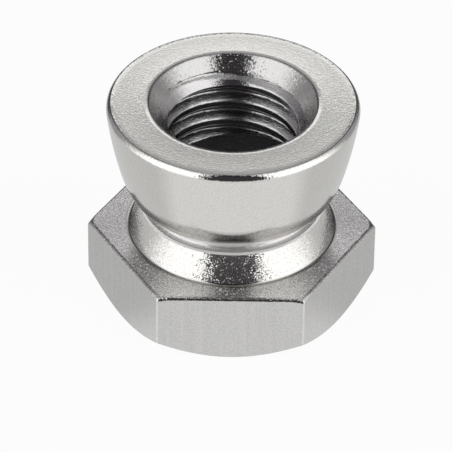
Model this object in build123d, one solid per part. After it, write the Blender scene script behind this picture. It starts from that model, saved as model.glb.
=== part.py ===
from build123d import *
import os
from math import cos, pi, radians, tan

# Shear nut for an M10 bolt, turned in one piece from 17 mm hexagon bar.
# It stands on the outer face of its hexagon with the wide end of the cone up.
# Millimetres, +Z up along the bore, two flats of the hexagon square to Y.

# Hexagon, the drive that breaks off
across_flats = 17.0
hex_height = 4.99
hex_corner_radius = 0.15
hex_edge_radius = 0.18      # round the top face
corner_cut_width = 0.435    # turned off each corner beside the top face
corner_cut_angle = 17.0     # from the top face
end_face_inset = 0.1        # flat to the rim of the round end face
end_chamfer_angle = 40.0    # from the end face

# Bore
thread_size = 10.0
thread_pitch = 1.5
minor_allowance = 0.274     # on the minor diameter, which 6H lets grow by 0.3
countersink_width = 1.33
countersink_angle = 76.0    # included
relief_clearance = 0.5      # on the diameter, so the hexagon drops off the bolt
relief_above_neck = 0.85
relief_mouth_chamfer = 0.5

# Collar between the hexagon and the neck
collar_height = 2.1
collar_taper = 21.4         # each side
collar_foot_radius = 0.15
collar_edge_radius = 0.1
collar_step = 0.39          # shoulder down to the neck

# Neck, the groove where the nut shears
neck_width = 1.2
neck_wall = 0.5
neck_root_radius = 0.25

# Cone, the part that stays on the bolt
cone_height = 6.77
undercut_depth = 1.045      # lower edge of the cone to the neck
cone_edge_radius = 0.12
shoulder_height = 1.69      # stretch that rounds in to the lower edge
shoulder_run = 0.78
flank_taper = 10.62         # chord of the slightly bowed flank
flank_bow = 0.11
rim_radius = 0.5

# Heights
collar_top = hex_height + collar_height
cone_bottom = collar_top + neck_width
shoulder_top = cone_bottom + shoulder_height
overall_height = cone_bottom + cone_height
relief_top = cone_bottom + relief_above_neck

# Radii
relief_radius = (thread_size + relief_clearance) / 2
neck_radius = relief_radius + neck_wall
collar_top_radius = neck_radius + collar_step
collar_foot = collar_top_radius + collar_height * tan(radians(collar_taper))
cone_bottom_radius = neck_radius + undercut_depth
shoulder_radius = cone_bottom_radius + shoulder_run
cone_top_radius = shoulder_radius + (overall_height - shoulder_top) * tan(radians(flank_taper))
basic_minor = thread_size - 1.25 * cos(pi / 6) * thread_pitch
bore_radius = (basic_minor + minor_allowance) / 2
countersink_radius = bore_radius + countersink_width
countersink_depth = countersink_width / tan(radians(countersink_angle / 2))


def corner(face, radius, height):
    """The corner of a profile that lies at this radius and height."""
    return face.vertices().sort_by_distance(Vector(radius, height, 0))[0]


def turned(face):
    """A profile drawn as radius against height, turned about the bore's axis."""
    return revolve(Plane.XZ * face, axis=Axis.Z)


def hexagon():
    """Length of hexagon bar with soft edges, its corners cut a little above and chamfered round at its end."""
    outline = RegularPolygon(across_flats / 2, 6, major_radius=False)
    outline = fillet(outline.vertices(), hex_corner_radius)
    bar = extrude(outline, hex_height)
    bar = fillet(bar.faces().sort_by(Axis.Z)[-1].edges(), hex_edge_radius)

    corner_reach = across_flats / 2 / cos(pi / 6)
    clear_radius = corner_reach + 1
    end_radius = across_flats / 2 - end_face_inset
    chamfer_rise = (clear_radius - end_radius) * tan(radians(end_chamfer_angle))
    top_radius = corner_reach - corner_cut_width
    corner_fall = (clear_radius - top_radius) * tan(radians(corner_cut_angle))
    envelope = Polyline(
        (0, 0),
        (end_radius, 0),
        (clear_radius, chamfer_rise),
        (clear_radius, hex_height - corner_fall),
        (top_radius, hex_height),
        (0, hex_height),
        close=True,
    )
    return bar & turned(make_face(envelope))


def cone_and_neck():
    """Everything above the hexagon: collar, shear neck and cone, as one turned profile."""
    flank_low = (shoulder_radius, shoulder_top)
    flank_high = (cone_top_radius, overall_height)
    flank = SagittaArc(flank_low, flank_high, -flank_bow)
    shoulder = TangentArc(flank_low, (cone_bottom_radius, cone_bottom), tangent=-(flank % 0))
    below = Polyline(
        (cone_bottom_radius, cone_bottom),
        (neck_radius, cone_bottom),
        (neck_radius, collar_top),
        (collar_top_radius, collar_top),
        (collar_foot, hex_height),
        (collar_foot + collar_step, hex_height),
        (collar_foot + collar_step, hex_height / 2),
        (0, hex_height / 2),
        (0, overall_height),
        flank_high,
    )
    face = make_face([flank, shoulder, below])
    face = fillet(corner(face, cone_top_radius, overall_height), rim_radius)
    face = fillet(corner(face, cone_bottom_radius, cone_bottom), cone_edge_radius)
    face = fillet(corner(face, neck_radius, cone_bottom), neck_root_radius)
    face = fillet(corner(face, neck_radius, collar_top), neck_root_radius)
    face = fillet(corner(face, collar_top_radius, collar_top), collar_edge_radius)
    face = fillet(corner(face, collar_foot, hex_height), collar_foot_radius)
    return turned(face)


def bore():
    """Countersink, threaded length at its minor diameter and relief through the hexagon."""
    profile = Polyline(
        (0, 0),
        (relief_radius + relief_mouth_chamfer, 0),
        (relief_radius, relief_mouth_chamfer),
        (relief_radius, relief_top),
        (bore_radius, relief_top),
        (bore_radius, overall_height - countersink_depth),
        (countersink_radius, overall_height),
        (0, overall_height),
        close=True,
    )
    return turned(make_face(profile))


shear_nut = hexagon() + cone_and_neck() - bore()

print("overall height", round(overall_height, 3))
print("cone top diameter", round(2 * cone_top_radius, 3), "collar foot", round(2 * collar_foot, 3))
print("countersink", round(2 * countersink_radius, 3), "depth", round(countersink_depth, 3))
print("threaded length", round(overall_height - countersink_depth - relief_top, 3))

os.makedirs("parts", exist_ok=True)
export_step(shear_nut, "parts/shear_nut.step")
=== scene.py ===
from math import acos, atan, atan2, ceil, cos, floor, pi, radians, sin, sqrt, tan

import bmesh
import bpy
from mathutils import Matrix, Vector, noise as perlin


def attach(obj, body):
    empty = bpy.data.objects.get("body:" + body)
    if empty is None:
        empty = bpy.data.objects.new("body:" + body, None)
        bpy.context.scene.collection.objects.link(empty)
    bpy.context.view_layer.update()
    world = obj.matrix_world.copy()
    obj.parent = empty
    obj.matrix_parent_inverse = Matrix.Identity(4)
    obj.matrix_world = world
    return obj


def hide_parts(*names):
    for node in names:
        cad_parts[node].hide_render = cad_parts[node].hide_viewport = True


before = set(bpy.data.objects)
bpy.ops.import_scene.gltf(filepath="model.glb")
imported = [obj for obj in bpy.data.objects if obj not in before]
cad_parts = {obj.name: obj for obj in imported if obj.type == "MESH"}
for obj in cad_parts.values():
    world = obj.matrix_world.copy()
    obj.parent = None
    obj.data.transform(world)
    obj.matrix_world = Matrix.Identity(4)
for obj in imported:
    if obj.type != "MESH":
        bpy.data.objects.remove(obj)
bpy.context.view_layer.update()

# Shear nut, M10, turned from 17 mm hexagon bar and tapped from its wide end.
# Sizes are in millimetres, heights from the end that it stands on.
MM = 0.001

# Hexagon
across_flats = 17.0
hex_height = 4.99
hex_corner_radius = 0.15
hex_edge_width = 0.24           # softened edge round the top face
hex_edge_depth = 0.18
hex_edge_wander = 0.06          # how far that ragged edge strays inward
hex_edge_bumps = 3              # in each millimetre of it
top_face_radius = 9.38          # beyond it the corners fall away
top_corner_angle = radians(17.0)
end_face_inset = 0.1
end_chamfer_angle = radians(40.0)

# Bore
thread_size = 10.0
thread_pitch = 1.5
thread_flank = radians(60.0)    # of each flank, from the bore's axis
crest_radius = 4.3251           # minor radius
root_widening = 0.1             # beyond the basic form, as cut
crest_softening = 0.05
crest_top_at_back = 13.5        # upper edge of the first crest, on the +Y side
runout_length = thread_pitch / 3    # rise over which a groove runs out into the countersink
runout_narrowing = 0.18         # of the groove as it does
tapped_up_to = 13.9             # the countersink's finish starts here
countersink_width = 1.33
countersink_angle = radians(38.0)
countersink_edge = 0.06
relief_radius = 5.25
relief_top = 9.14
relief_mouth_chamfer = 0.5

# Collar
collar_height = 2.1
collar_taper = radians(21.4)
collar_foot_radius = 0.15
collar_edge_radius = 0.1
collar_step = 0.39
burr_width = 0.12               # bright line down from the collar's edge
foot_groove_width = 0.16        # tool mark round the collar's foot
foot_groove_depth = 0.02

# Neck
neck_width = 1.2
neck_wall = 0.5
neck_root_radius = 0.25

# Cone
cone_height = 6.77
undercut_depth = 1.045
cone_edge_radius = 0.12
shoulder_height = 1.69
shoulder_run = 0.78
flank_taper = radians(10.62)
flank_bow = 0.11
rim_radius = 0.5
face_crown = 0.03               # fall of the top face towards the rim

# Heights and radii that follow
collar_top = hex_height + collar_height
cone_bottom = collar_top + neck_width
shoulder_top = cone_bottom + shoulder_height
overall_height = cone_bottom + cone_height
neck_radius = relief_radius + neck_wall
collar_top_radius = neck_radius + collar_step
collar_foot = collar_top_radius + collar_height * tan(collar_taper)
cone_bottom_radius = neck_radius + undercut_depth
shoulder_radius = cone_bottom_radius + shoulder_run
cone_top_radius = shoulder_radius + (overall_height - shoulder_top) * tan(flank_taper)
root_radius = thread_size / 2
root_flat = thread_pitch / 8 + root_widening
countersink_radius = crest_radius + countersink_width
countersink_bottom = overall_height - countersink_width / tan(countersink_angle)

# Heights between which the cone's marks change
rim_marks = (overall_height - 0.6, overall_height - 0.4)
# below these the cone's colour is darker, as painted shade on its lower band and on the collar's foot
undercut_shade_heights = (9.95, 9.7)

# Fineness of the mesh
flat_columns = 48               # along each side of the hexagon
cut_columns = 5                 # along the stretch beside each corner
corner_columns = 6              # round each corner
bore_row = 0.056                # height of a row of faces in the bore
edge_steps = 9                  # round the hexagon's top edge
face_steps = 8                  # across the crowned top face
face_margin = 0.03              # narrow band along the edges of the hexagon's top face
crease_angle = radians(35)      # sharper edges aren't smoothed

# Steel
bright_steel = (0.71, 0.703, 0.678)
faced_steel = (0.8, 0.785, 0.78)
drawn_steel = (0.63, 0.625, 0.615)
tapped_steel = (0.54, 0.53, 0.535)
countersunk_steel = (0.52, 0.515, 0.505)
# lighter than bright steel: a painted highlight on the collar's rough burr, whose roughness also spreads the
# side light
burr_highlight_steel = (0.86, 0.85, 0.84)
# lighter than the drawn sides, on the hexagon's rounded corners
corner_steel = (0.84, 0.83, 0.82)
shade_range = 0.2               # how far marks darken or lighten a colour
dull_loss = 0.7                 # of metallic reflection in dull specks
round_axis = 0.25               # lay of the tool marks, as a share of a turn
along_axis = 0.0

# Studio, with light levels that are white at 1
studio_turn = radians(2)        # its middle line, to the right of the camera
opening_level = 0.05
panel_level = 1.5
wall_level = 0.33
back_corner_dimming = 0.29
roof_level = 0.5
back_roof_dimming = 0.3
back_band_level = 1.25
back_band_dimming = 0.86
floor_level = 0.87
side_floor_dimming = 0.2
white_cloth = (0.93, 0.93, 0.93, 1)
# darker cloth under the nut, as painted shade where the bore looks down on the floor
bore_shade_cloth = (0.6, 0.6, 0.6, 1)  # under the bore
floor_reach = 2.0               # metres from the nut to each side of the floor


def arc(centre, radius, first, last, steps):
    """Points of a profile on an arc, between two angles that are measured from straight outward."""
    angles = [first + (last - first) * step / steps for step in range(steps + 1)]
    return [centre + radius * Vector((cos(angle), sin(angle))) for angle in angles]


def direction(centre, point):
    return atan2(point[1] - centre[1], point[0] - centre[0])


def nested(centre, radius, inner_radius, height):
    """Centre of a smaller circle that touches this one from inside, outward of it, at a given height."""
    reach = sqrt((radius - inner_radius) ** 2 - (height - centre[1]) ** 2)
    return Vector((centre[0] + reach, height))


def cone_profile():
    """Cone from the top face round the rim, the bowed flank and the shoulder to the undercut."""
    low = Vector((shoulder_radius, shoulder_top))
    high = Vector((cone_top_radius, overall_height))
    chord = high - low
    flank_radius = (chord.length_squared / 4 + flank_bow ** 2) / (2 * flank_bow)
    outward = Vector((chord.y, -chord.x)).normalized()
    flank = (low + high) / 2 - outward * (flank_radius - flank_bow)

    outward = (low - flank).normalized()
    across = low - Vector((cone_bottom_radius, cone_bottom))
    shoulder_arc_radius = across.length_squared / (2 * across.dot(outward))
    shoulder = low - outward * shoulder_arc_radius

    rim = nested(flank, flank_radius, rim_radius, overall_height - rim_radius)
    edge = nested(shoulder, shoulder_arc_radius, cone_edge_radius, cone_bottom + cone_edge_radius)
    rim_end = direction(flank, rim)
    flank_end = direction(flank, low)
    shoulder_end = direction(shoulder, edge)
    return (
        arc(rim, rim_radius, pi / 2, rim_end, steps=12)
        + arc(flank, flank_radius, rim_end, flank_end, steps=14)[1:]
        + arc(shoulder, shoulder_arc_radius, flank_end, shoulder_end, steps=10)[1:]
        + arc(edge, cone_edge_radius, shoulder_end, -pi / 2, steps=6)[1:]
    )


def waist_profile():
    """Neck and collar, down to the top of the hexagon, as (radius, height, finish below it)."""
    root = neck_radius + neck_root_radius
    upper = Vector((root, cone_bottom - neck_root_radius))
    lower = Vector((root, collar_top + neck_root_radius))
    neck = arc(upper, neck_root_radius, pi / 2, pi, steps=6)
    neck += arc(lower, neck_root_radius, pi, 3 * pi / 2, steps=6)

    setback = (1 - sin(collar_taper)) / cos(collar_taper)
    edge = Vector((collar_top_radius - collar_edge_radius * setback, collar_top - collar_edge_radius))
    burr = arc(edge, collar_edge_radius, pi / 2, collar_taper, steps=5)
    burr_end = burr[-1] + burr_width * Vector((sin(collar_taper), -cos(collar_taper)))

    foot = Vector((collar_foot + collar_foot_radius * setback, hex_height + collar_foot_radius))
    groove_bottom = foot.x + 0.3 * foot_groove_width
    foot_marks = arc(foot, collar_foot_radius, pi + collar_taper, 3 * pi / 2, steps=5)
    foot_marks.append(Vector((groove_bottom, hex_height - foot_groove_depth)))
    foot_marks.append(Vector((foot.x + foot_groove_width, hex_height)))

    # The foot is as bright as the cone and shares its finish, so it also takes the painted shade of the
    # cone's lower band
    stretches = {"groove": neck, "burr": burr, "turned": [burr_end], "cone": foot_marks}
    return [(*point, finish) for finish, points in stretches.items() for point in points]


def hexagon_reach(angle, half_width):
    """Distance from the axis to the side of a hexagon with rounded corners, two of them on the X axis."""
    off_flat = abs((angle + pi / 3) % (pi / 3) - pi / 6)
    core = half_width - hex_corner_radius
    if off_flat < atan(core * tan(pi / 6) / half_width):
        return half_width / cos(off_flat)
    off_corner = pi / 6 - off_flat
    to_corner = core / cos(pi / 6)
    return to_corner * cos(off_corner) + sqrt(hex_corner_radius ** 2 - (to_corner * sin(off_corner)) ** 2)


def column_angles():
    """Angles of the mesh's columns, crowded towards the hexagon's corners."""
    half_width = across_flats / 2
    flat_end = atan((half_width - hex_corner_radius) * tan(pi / 6) / half_width)
    cut_end = acos((half_width - hex_edge_width) / top_face_radius)
    stretches = [
        (-cut_end, cut_end, flat_columns),
        (cut_end, flat_end, cut_columns),
        (flat_end, pi / 3 - flat_end, corner_columns),
        (pi / 3 - flat_end, pi / 3 - cut_end, cut_columns),
    ]
    angles = []
    for side in range(6):
        middle = pi / 6 + side * pi / 3
        for first, last, count in stretches:
            angles += [middle + first + (last - first) * step / count for step in range(count)]
    return angles


def thread_form():
    """Thread from the middle of a crest to the root, as (distance, radius), softened at both corners."""
    slope = tan(thread_flank)
    root_start = thread_pitch / 2 - root_flat / 2
    crest_end = root_start - (root_radius - crest_radius) / slope
    along = crest_softening * cos(thread_flank)
    aside = crest_softening * sin(thread_flank)
    return [
        (0, crest_radius),
        (crest_end - crest_softening, crest_radius),
        (crest_end + along, crest_radius + aside),
        (root_start - along, root_radius - aside),
        (root_start + crest_softening, root_radius),
    ]


def thread_corners(angle, low, high):
    """Corners of the thread as (height, radius) in the half plane at this angle, upward from below low."""
    form = thread_form()
    crest_half = form[1][0] + crest_softening
    lowest = crest_top_at_back - crest_half + (angle - pi / 2) / (2 * pi) * thread_pitch
    first_turn = floor((low - lowest) / thread_pitch) - 1
    last_turn = ceil((high - lowest) / thread_pitch) + 1
    corners = []
    for turn in range(first_turn, last_turn + 1):
        crest = lowest + turn * thread_pitch
        runout = min(1, max(0, (crest - countersink_bottom - runout_length) / runout_length))
        crest_foot = crest - runout * runout_narrowing
        corners += [(crest_foot - distance, radius) for distance, radius in form[:0:-1]]
        corners += [(crest + distance, radius) for distance, radius in form]
    return corners


def countersink_at(height):
    return crest_radius + (height - countersink_bottom) * tan(countersink_angle)


def bore_corners(angle, low, high):
    """Corners of the bore's wall, as far as the countersink leaves the thread, and of the whole thread."""
    thread = thread_corners(angle, low, high)
    corners = []
    for (height, radius), (next_height, next_radius) in zip(thread, thread[1:]):
        gap = radius - countersink_at(height)
        next_gap = next_radius - countersink_at(next_height)
        if gap > 0:
            corners.append((height, radius))
        if gap * next_gap < 0:
            share = gap / (gap - next_gap)
            met = height + share * (next_height - height)
            corners.append((met, countersink_at(met)))
    return [corner for corner in corners if low < corner[0] < high], thread


def bore_radius(height, thread):
    """Radius of the bore's wall at a height, given the thread's corners there."""
    for (below, radius), (above, next_radius) in zip(thread, thread[1:]):
        if below <= height < above:
            share = (height - below) / (above - below)
            return max(radius + share * (next_radius - radius), countersink_at(height))


class Nut:
    """The nut's surface, gathered as rings of points that all have the same columns."""

    def __init__(self):
        self.columns = column_angles()
        self.points = []
        self.faces = []
        self.finishes = []

    def ring(self, radii, heights):
        """Adds a ring of points, given as one radius and height or as one for each column."""
        count = len(self.columns)
        radii = radii if isinstance(radii, list) else [radii] * count
        heights = heights if isinstance(heights, list) else [heights] * count
        start = len(self.points)
        for angle, radius, height in zip(self.columns, radii, heights):
            self.points.append((radius * cos(angle) * MM, radius * sin(angle) * MM, height * MM))
        return list(range(start, start + count))

    def skin(self, outer, inner, finish, marked=(), corner_finish=None):
        """Faces between two rings.

        Marked points hold ridge lines, and a face that such a line crosses is split along it.
        """
        count = len(outer)
        corner_start = flat_columns + cut_columns
        in_corner = range(corner_start, corner_start + corner_columns)
        for column in range(count):
            beside = (column + 1) % count
            a, b, c, d = outer[column], outer[beside], inner[beside], inner[column]
            if self.on_ridge(b, d, marked):
                parts = [(a, d, b), (b, d, c)]
            elif self.on_ridge(a, c, marked):
                parts = [(a, c, b), (a, d, c)]
            else:
                parts = [(a, d, c, b)]
            cornered = corner_finish and column % (count // 6) in in_corner
            self.faces += parts
            self.finishes += [corner_finish if cornered else finish] * len(parts)

    def on_ridge(self, a, b, marked):
        """Whether a ridge line runs from one point to the other."""
        rise = abs(self.points[a][2] - self.points[b][2])
        return a in marked and b in marked and rise < bore_row / 3 * MM

    def bore(self, low, high):
        """Rows of points up the bore, and those of them that hold its ridge lines.

        In each column the nearest points move to the corners of its profile.
        """
        rows = round((high - low) / bore_row)
        step = (high - low) / rows
        grid = []
        marks = []
        for angle in self.columns:
            corners, thread = bore_corners(angle, low, high)
            heights = [low + row * step for row in range(rows + 1)]
            held = set()
            for height, _ in corners:
                row = round((height - low) / step)
                if 0 < row < rows and row not in held:
                    heights[row] = height
                    held.add(row)
            grid.append([(bore_radius(height, thread), height) for height in heights])
            marks.append(held)
        rings = []
        marked = set()
        for row in range(rows + 1):
            ring = self.ring([column[row][0] for column in grid], [column[row][1] for column in grid])
            marked |= {point for point, held in zip(ring, marks) if row in held}
            rings.append(ring)
        return rings, marked


def outside_profile():
    """Outside from the top face down to the top of the hexagon, as (radius, height, finish below it)."""
    cone = cone_profile()
    face_width = cone[0].x - (countersink_radius + countersink_edge)
    outside = []
    for step in range(face_steps):
        left = 1 - step / face_steps
        height = overall_height - face_crown * (1 - left ** 2)
        outside.append((cone[0].x - left * face_width, height, "face"))
    sunk = 3        # points of the rim that the crown lowers
    outside += [(point.x, point.y - face_crown, "cone") for point in cone[:sunk]]
    outside += [(*point, "cone") for point in cone[sunk:]]
    outside += waist_profile()
    outside.append((outside[-1][0] + face_margin, hex_height, "hex top"))
    return outside


def ragged(nut, radius, offset):
    """How far a ragged edge strays inward in each column, with another line for another offset."""
    reach = hex_edge_bumps * radius
    around = [Vector((reach * cos(angle), reach * sin(angle), offset)) for angle in nut.columns]
    return [hex_edge_wander * (0.5 + 0.5 * perlin.noise(point)) for point in around]


def add_hexagon(nut, inner):
    """Top face, softened edge, sides and end chamfer of the hexagon. Gives the rim of its end face."""
    half_width = across_flats / 2
    upper_wander = ragged(nut, half_width, 0)
    lower_wander = ragged(nut, half_width, 5)
    for inset in (hex_edge_width + face_margin, hex_edge_width):
        reach = []
        for angle, wander in zip(nut.columns, upper_wander):
            side = hexagon_reach(angle, half_width - inset)
            reach.append(min(side, top_face_radius - inset + hex_edge_width) - wander)
        ring = nut.ring(reach, hex_height)
        nut.skin(inner, ring, "hex top")
        inner = ring

    for step in range(edge_steps + 1):
        turn = pi / 2 * step / edge_steps
        inset = hex_edge_width * (1 - sin(turn))
        drop = hex_edge_depth * (1 - cos(turn))
        reach = []
        heights = []
        for angle, upper, lower in zip(nut.columns, upper_wander, lower_wander):
            side = hexagon_reach(angle, half_width - inset)
            fall = max(0, side - top_face_radius) * tan(top_corner_angle)
            reach.append(side - upper * (1 - sin(turn)))
            heights.append(hex_height - fall - drop - lower * (1 - cos(turn)))
        ring = nut.ring(reach, heights)
        nut.skin(inner, ring, "edge")
        inner = ring

    sides = [hexagon_reach(angle, half_width) for angle in nut.columns]
    end_radius = half_width - end_face_inset
    chamfer_tops = [(side - end_radius) * tan(end_chamfer_angle) for side in sides]
    lower = nut.ring(sides, chamfer_tops)
    end = nut.ring(end_radius, 0)
    nut.skin(inner, lower, "drawn", corner_finish="corner")
    nut.skin(lower, end, "turned")
    return end


def add_bore(nut, end, top):
    """End face, relief, thread and countersink, from the rim of the end face to the top face."""
    mouth = nut.ring(relief_radius + relief_mouth_chamfer, 0)
    relief_foot = nut.ring(relief_radius, relief_mouth_chamfer)
    relief_end = nut.ring(relief_radius, relief_top)
    nut.skin(end, mouth, "face")
    nut.skin(mouth, relief_foot, "bored")
    nut.skin(relief_foot, relief_end, "bored")
    rings, marked = nut.bore(relief_top, overall_height - countersink_edge)
    nut.skin(relief_end, rings[0], "bored")
    for below, above in zip(rings, rings[1:]):
        height = nut.points[below[0]][2] / MM
        nut.skin(below, above, "countersunk" if height > tapped_up_to else "bored", marked)
    nut.skin(rings[-1], top, "countersunk")


def nut_surface():
    """Every surface of the nut, from the countersink outward and round to the bore again."""
    nut = Nut()
    outside = outside_profile()
    rings = [nut.ring(radius, height) for radius, height, _ in outside]
    for above, below, (_, _, finish) in zip(rings, rings[1:], outside):
        nut.skin(above, below, finish)
    end = add_hexagon(nut, rings[-1])
    add_bore(nut, end, rings[0])
    return nut


def make_nut(materials):
    """The nut as one mesh, with a material for each way that its surfaces were made."""
    nut = nut_surface()
    mesh = bpy.data.meshes.new("shear_nut_turned")
    mesh.from_pydata(nut.points, [], nut.faces)
    order = list(materials)
    for material in materials.values():
        mesh.materials.append(material)
    for polygon, finish in zip(mesh.polygons, nut.finishes):
        polygon.material_index = order.index(finish)
        polygon.use_smooth = True
    form = bmesh.new()
    form.from_mesh(mesh)
    bmesh.ops.remove_doubles(form, verts=form.verts, dist=1e-7)
    form.to_mesh(mesh)
    form.free()
    mesh.set_sharp_from_angle(angle=crease_angle)
    piece = bpy.data.objects.new("shear_nut_turned", mesh)
    bpy.context.scene.collection.objects.link(piece)
    normals = piece.modifiers.new("even_normals", "WEIGHTED_NORMAL")
    normals.keep_sharp = True
    return piece


class Socket:
    """An output socket that takes part in plain sums, each of which adds a Math node."""

    def __init__(self, wiring, socket):
        self.wiring = wiring
        self.socket = socket

    def output(self, name):
        """Another output of the same node."""
        return Socket(self.wiring, self.socket.node.outputs[name])

    def maths(self, operation, *values):
        return self.wiring.node("ShaderNodeMath", {"operation": operation}, dict(enumerate(values)))

    def __add__(self, other):
        return self.maths("ADD", self, other)

    def __radd__(self, other):
        return self.maths("ADD", other, self)

    def __sub__(self, other):
        return self.maths("SUBTRACT", self, other)

    def __rsub__(self, other):
        return self.maths("SUBTRACT", other, self)

    def __mul__(self, other):
        return self.maths("MULTIPLY", self, other)

    def __rmul__(self, other):
        return self.maths("MULTIPLY", other, self)

    def __abs__(self):
        return self.maths("ABSOLUTE", self)


class Wiring:
    """The nodes of one material or of the world."""

    def __init__(self, owner):
        owner.use_nodes = True
        self.tree = owner.node_tree
        self.tree.nodes.clear()

    def node(self, kind, settings=None, inputs=None):
        """Adds a node: its settings first, then a value or a link for each socket named or numbered."""
        node = self.tree.nodes.new(kind)
        for name, value in (settings or {}).items():
            setattr(node, name, value)
        for key, value in (inputs or {}).items():
            if isinstance(value, Socket):
                self.tree.links.new(value.socket, node.inputs[key])
            else:
                node.inputs[key].default_value = value
        return Socket(self, node.outputs[0]) if node.outputs else node

    def vector_maths(self, operation, inputs):
        return self.node("ShaderNodeVectorMath", {"operation": operation}, inputs)

    def blend(self, share, first, second):
        """A colour between two, each with its alpha."""
        inputs = {0: share, 6: first, 7: second}
        return self.node("ShaderNodeMix", {"data_type": "RGBA"}, inputs).output(2)


def step_up(wiring, value, start, end):
    """0 at the start and beyond it, 1 at the end and beyond it, and a soft step between."""
    return wiring.node(
        "ShaderNodeMapRange",
        {"interpolation_type": "SMOOTHSTEP"},
        {"Value": value, "From Min": min(start, end), "From Max": max(start, end),
         "To Min": float(start > end), "To Max": float(start < end)},
    )


def split(wiring, vector):
    """X, Y and Z of a vector."""
    parts = wiring.node("ShaderNodeSeparateXYZ", {}, {0: vector})
    return [parts.output(axis) for axis in "XYZ"]


def scaled(wiring, place, factors):
    return wiring.vector_maths("MULTIPLY", {0: place, 1: factors})


def normalised(wiring, vector):
    return wiring.vector_maths("NORMALIZE", {0: vector})


def length(wiring, vector):
    return wiring.vector_maths("LENGTH", {0: vector}).output("Value")


def in_grains(wiring, place, size):
    """Place measured in grains of a given number of millimetres."""
    return scaled(wiring, place, [1 / (size * MM)] * 3)


def noise(wiring, place, detail=2.0):
    """Soft noise about zero, its bumps one unit apart."""
    return wiring.node("ShaderNodeTexNoise", {}, {"Vector": place, "Scale": 1.0, "Detail": detail}) - 0.5


def grain(wiring, place, size, detail=2.0):
    """Noise with bumps a given number of millimetres apart."""
    return noise(wiring, in_grains(wiring, place, size), detail)


def lathe_rings(wiring, place, spacing, unevenness):
    """Noise in rings about the axis, as a tool leaves it, that fades in and out along each ring."""
    wall_closeness = 1.7        # rings on a wall against those on a face
    flat = scaled(wiring, place, (1, 1, 0))
    height = split(wiring, place)[2]
    along = (length(wiring, flat) + wall_closeness * height) * (1 / (spacing * MM))
    rounds = scaled(wiring, normalised(wiring, flat), (unevenness, unevenness, 0))
    across = wiring.node("ShaderNodeCombineXYZ", {}, {"Z": along})
    return noise(wiring, wiring.vector_maths("ADD", {0: rounds, 1: across}))


def stainless(name, colour, roughness, lay, marks, spread=0.85):
    """Bare stainless steel with its tool marks.

    The marks give a height in millimetres, a shade about a half, the way that the surface faces
    and, where there are any, dull specks.
    """
    material = bpy.data.materials.new(name)
    wiring = Wiring(material)
    made = marks(wiring, wiring.node("ShaderNodeTexCoord").output("Object"))
    relief = {"Height": made["height"], "Distance": MM, "Normal": made["facing"]}
    darker = (*[(1 - shade_range) * part for part in colour], 1)
    lighter = (*[(1 + shade_range) * part for part in colour], 1)
    shader = wiring.node(
        "ShaderNodeBsdfPrincipled",
        {},
        {
            "Base Color": wiring.blend(made["shade"], darker, lighter),
            "Metallic": 1 - dull_loss * made.get("dull", 0),
            "Roughness": roughness,
            "Anisotropic": spread,
            "Anisotropic Rotation": lay,
            "Normal": wiring.node("ShaderNodeBump", {}, relief),
        },
    )
    wiring.node("ShaderNodeOutputMaterial", {}, {"Surface": shader})
    return material


def leaning(wiring, lean, tilt):
    """Facing of the surface, leant by a vector."""
    straight = wiring.node("ShaderNodeNewGeometry").output("Normal")
    lean = wiring.vector_maths("SCALE", {0: lean, "Scale": tilt})
    return normalised(wiring, wiring.vector_maths("ADD", {0: straight, 1: lean}))


def facets(wiring, place, size, tilt):
    """Facing of a surface that is strewn with tiny facets, which lean to all sides."""
    spots = {"Vector": in_grains(wiring, place, size), "Scale": 1.0, "Detail": 1.0}
    lean = wiring.node("ShaderNodeTexNoise", {}, spots).output("Color")
    lean = wiring.vector_maths("SUBTRACT", {0: lean, 1: (0.5, 0.5, 0.5)})
    return leaning(wiring, lean, tilt)


def radial_facets(wiring, place, size, tilt):
    """Facing of a turned face that is strewn with tiny facets, which lean outward or inward."""
    outward = normalised(wiring, scaled(wiring, place, (1, 1, 0)))
    lean = wiring.vector_maths("SUBTRACT", {0: outward, 1: (0, 0, 1)})
    return leaning(wiring, lean, tilt * grain(wiring, place, size, 1.0))


def sideways_facets(wiring, place, size, tilt):
    """Facing of a turned surface that is strewn with tiny facets, which lean to either side."""
    aside = normalised(wiring, wiring.vector_maths("CROSS_PRODUCT", {0: place, 1: (0, 0, 1)}))
    return leaning(wiring, aside, tilt * grain(wiring, place, size, 1.0))


def specks(wiring, place, size, start, end):
    """Specks a given number of millimetres apart, smaller for a higher start and end."""
    return step_up(wiring, grain(wiring, place, size, 1.0), start, end)


def cone_marks(wiring, place):
    """Fine grain, with facets that lean more round the rim, and painted shade: a darker colour below the
    undercut heights.
    """
    fine = grain(wiring, place, 0.12)
    height = split(wiring, place)[2]
    rim = step_up(wiring, height, *[level * MM for level in rim_marks])
    undercut = step_up(wiring, height, *[level * MM for level in undercut_shade_heights])
    return {
        "height": 0.003 * fine,
        # painted shade: darker colour below the undercut heights
        "shade": 0.5 + 0.8 * fine - 0.5 * undercut,
        "facing": facets(wiring, place, 0.12, 0.03 + 0.2 * rim),
    }


def turned_marks(wiring, place):
    """Facets along the rings, in patches of half a millimetre, and dull specks."""
    fine = grain(wiring, place, 0.12)
    patches = step_up(wiring, grain(wiring, place, 0.5), -0.15, 0.15)
    return {
        "height": 0.003 * fine,
        "shade": 0.5 + 0.3 * fine,
        "facing": sideways_facets(wiring, place, 0.09, 0.2 + 0.8 * patches),
        "dull": specks(wiring, place, 0.12, 0.1, 0.23),
    }


def faced_marks(wiring, place):
    """Faint rings and a fine grain."""
    rings = lathe_rings(wiring, place, 0.12, 12)
    return {
        "height": 0.006 * grain(wiring, place, 0.15) + 0.003 * rings,
        "shade": 0.5 + 0.6 * rings,
        "facing": facets(wiring, place, 0.07, 0.1),
    }


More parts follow.
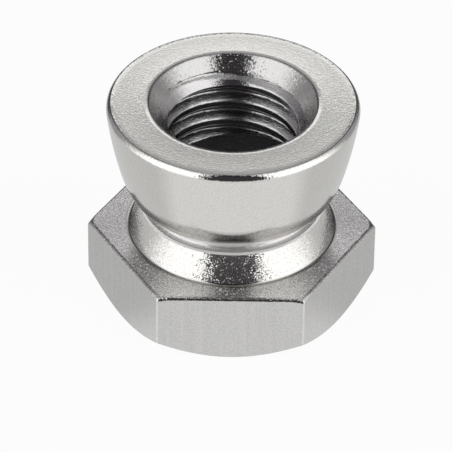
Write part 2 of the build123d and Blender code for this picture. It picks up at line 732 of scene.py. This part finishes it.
def hex_top_marks(wiring, place):
    """Torn rings and dull specks, as a form tool leaves them."""
    rings = lathe_rings(wiring, place, 0.12, 8)
    fine = grain(wiring, place, 0.12, 1.0)
    return {
        "height": 0.004 * fine + 0.003 * rings,
        "shade": 0.5 + 0.5 * rings + 2 * fine,
        "facing": radial_facets(wiring, place, 0.06, 1.6),
        "dull": specks(wiring, place, 0.15, 0.06, 0.16),
    }


def edge_marks(wiring, place):
    """Deep, coarse grain of a torn edge."""
    fine = grain(wiring, place, 0.2)
    return {
        "height": 0.03 * fine,
        "shade": 0.5 + 0.5 * fine,
        "facing": facets(wiring, place, 0.08, 0.4),
    }


def drawn_marks(wiring, place):
    """Streaks along the bar, as the drawing die leaves them."""
    streaks = noise(wiring, scaled(wiring, place, (5000, 5000, 150)))
    fine = grain(wiring, place, 0.12)
    return {
        "height": 0.009 * streaks + 0.005 * fine,
        "shade": 0.5 + 0.4 * streaks + 1.2 * fine,
        "facing": facets(wiring, place, 0.08, 0.05),
    }


def countersunk_marks(wiring, place):
    """Coarse facets that lean more in specks, where the tool chattered."""
    fine = grain(wiring, place, 0.12)
    chatter = specks(wiring, place, 0.14, 0.12, 0.22)
    return {
        "height": 0.01 * fine,
        "shade": 0.5 + 0.6 * fine,
        "facing": facets(wiring, place, 0.14, 0.25 + 0.8 * chatter),
    }


def tapped_marks(wiring, place):
    """Rings along the thread and a rough grain."""
    fine = grain(wiring, place, 0.12)
    rings = lathe_rings(wiring, place, 0.09, 5)
    return {
        "height": 0.01 * fine + 0.01 * rings,
        "shade": 0.5 + 0.6 * fine + 0.5 * rings,
        "facing": facets(wiring, place, 0.08, 0.2),
    }


def angle_step(wiring, angle, start, end):
    """A soft step up from one angle to another, both in degrees."""
    return step_up(wiring, angle, radians(start), radians(end))


def studio_angle(wiring, x, y):
    """Angle of a level direction to either side of the studio's middle line."""
    angle = wiring.node("ShaderNodeMath", {"operation": "ARCTAN2"}, {0: x, 1: -1 * y})
    return abs(angle - studio_turn)


def side_light(wiring, turn):
    """Brightness of the panels and of the walls behind them, and the share of the dark opening."""
    opening = angle_step(wiring, turn, 34, 24)
    panels = (1 - opening) * angle_step(wiring, turn, 114, 74)
    walls = wall_level * angle_step(wiring, turn, 80, 110)
    walls = walls - back_corner_dimming * angle_step(wiring, turn, 125, 145)
    return opening_level + walls + panel_level * panels, opening


def tinted(wiring, level):
    """Light of a given brightness, white from a half upward and faintly purple where it is dim."""
    white = wiring.blend(2 * level, (0.97, 0.88, 1, 1), (1, 1, 1, 1))
    return wiring.vector_maths("SCALE", {0: white, "Scale": level})


def light_studio():
    """A tent with bright panels at both sides, a dimmer roof and a dark opening for the camera.

    The back wall has a bright band, about 30 degrees up. The camera itself sees plain white.
    """
    world = bpy.data.worlds.new("studio")
    bpy.context.scene.world = world
    wiring = Wiring(world)
    x, y, z = split(wiring, wiring.node("ShaderNodeTexCoord"))
    turn = studio_angle(wiring, x, y)
    rise = wiring.node("ShaderNodeMath", {"operation": "ARCSINE"}, {0: z})
    level, opening = side_light(wiring, turn)
    roof = angle_step(wiring, rise, 48, 74)
    overhead = roof_level - back_roof_dimming * angle_step(wiring, turn, 120, 150)
    level = level * (1 - roof) + overhead * roof * (1 - 0.95 * opening)
    back = angle_step(wiring, turn, 157, 171)
    band = back_band_level * angle_step(wiring, rise, 18, 30)
    band = band - back_band_dimming * angle_step(wiring, rise, 30, 38)
    level = level + back * band * (1 - 0.8 * roof)
    seen = wiring.node("ShaderNodeLightPath").output("Is Camera Ray")
    level = level * (1 - seen) + seen
    background = wiring.node("ShaderNodeBackground", {}, {"Color": tinted(wiring, level)})
    wiring.node("ShaderNodeOutputWorld", {}, {"Surface": background})


def floor_cloth():
    """White cloth that glows where it is seen or mirrored, except under the nut.

    The camera sees a little of the bare cloth too, for a trace of the nut's shadow. Under the nut the cloth
    is darker, as painted shade.
    """
    material = bpy.data.materials.new("white_sweep")
    wiring = Wiring(material)
    place = wiring.node("ShaderNodeNewGeometry").output("Position")
    x, y, _ = split(wiring, place)
    turn = studio_angle(wiring, x, y)
    distance = length(wiring, place)
    near = step_up(wiring, distance, 120 * MM, 30 * MM)
    near_level = floor_level - side_floor_dimming * angle_step(wiring, turn, 45, 70)
    level = near_level * near + side_light(wiring, turn)[0] * (1 - near)
    ray = wiring.node("ShaderNodeLightPath")
    seen = ray.output("Is Camera Ray")
    level = level * (1 - seen) + seen
    clear = step_up(wiring, distance, 6 * MM, 8.5 * MM)
    share = (ray.output("Is Glossy Ray") + seen * 0.94) * clear
    dim = wiring.node("ShaderNodeBsdfDiffuse", {}, {"Color": bore_shade_cloth})
    white = wiring.node("ShaderNodeBsdfDiffuse", {}, {"Color": white_cloth})
    cloth = wiring.node("ShaderNodeMixShader", {}, {0: clear, 1: dim, 2: white})
    glow = wiring.node("ShaderNodeEmission", {}, {"Color": tinted(wiring, level)})
    surface = wiring.node("ShaderNodeMixShader", {}, {0: share, 1: cloth, 2: glow})
    wiring.node("ShaderNodeOutputMaterial", {}, {"Surface": surface})
    return material


def lay_floor():
    """A wide square of cloth, level with the end that the nut stands on."""
    sides = [(-1, -1), (1, -1), (1, 1), (-1, 1)]
    mesh = bpy.data.meshes.new("floor")
    mesh.from_pydata([(x * floor_reach, y * floor_reach, 0) for x, y in sides], [], [(0, 1, 2, 3)])
    mesh.materials.append(floor_cloth())
    floor_piece = bpy.data.objects.new("floor", mesh)
    bpy.context.scene.collection.objects.link(floor_piece)


def place_camera():
    """A long lens that looks down on the nut from in front."""
    elevation = radians(37.056)
    azimuth = radians(0.151)
    roll = radians(0.731)
    distance = 268.09
    aim = Vector((-0.385, 0, 4.67))
    data = bpy.data.cameras.new("camera")
    data.sensor_width = 36
    data.lens = 313.59
    data.clip_start = 0.01
    data.clip_end = 10
    camera = bpy.data.objects.new("camera", data)
    bpy.context.scene.collection.objects.link(camera)
    turn = Matrix.Rotation(azimuth, 3, "Z")
    back = Vector((0, -cos(elevation), sin(elevation)))
    camera.location = turn @ (aim + distance * back) * MM
    camera.rotation_mode = "QUATERNION"
    facing = turn @ Matrix.Rotation(pi / 2 - elevation, 3, "X") @ Matrix.Rotation(roll, 3, "Z")
    camera.rotation_quaternion = facing.to_quaternion()
    bpy.context.scene.camera = camera


nut_piece = make_nut({
    "cone": stainless("cone_stainless", bright_steel, 0.1, round_axis, cone_marks),
    "turned": stainless("turned_stainless", bright_steel, 0.16, round_axis, turned_marks),
    "groove": stainless("grooved_stainless", faced_steel, 0.36, round_axis, turned_marks),
    "burr": stainless("burr_highlight_stainless", burr_highlight_steel, 0.6, along_axis, turned_marks),
    "face": stainless("faced_stainless", bright_steel, 0.1, round_axis, faced_marks),
    "hex top": stainless("hex_top_stainless", faced_steel, 0.2, round_axis, hex_top_marks, spread=1.0),
    "edge": stainless("ragged_edge_stainless", drawn_steel, 0.15, round_axis, edge_marks),
    "corner": stainless("lighter_corner_stainless", corner_steel, 0.4, along_axis, drawn_marks),
    "drawn": stainless("drawn_stainless", drawn_steel, 0.25, along_axis, drawn_marks),
    "countersunk": stainless("countersunk_stainless", countersunk_steel, 0.2, round_axis, countersunk_marks),
    "bored": stainless("tapped_stainless", tapped_steel, 0.16, round_axis, tapped_marks),
})
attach(nut_piece, "root")
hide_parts("shear_nut")
light_studio()
lay_floor()
place_camera()
bpy.context.scene.view_settings.view_transform = "Standard"
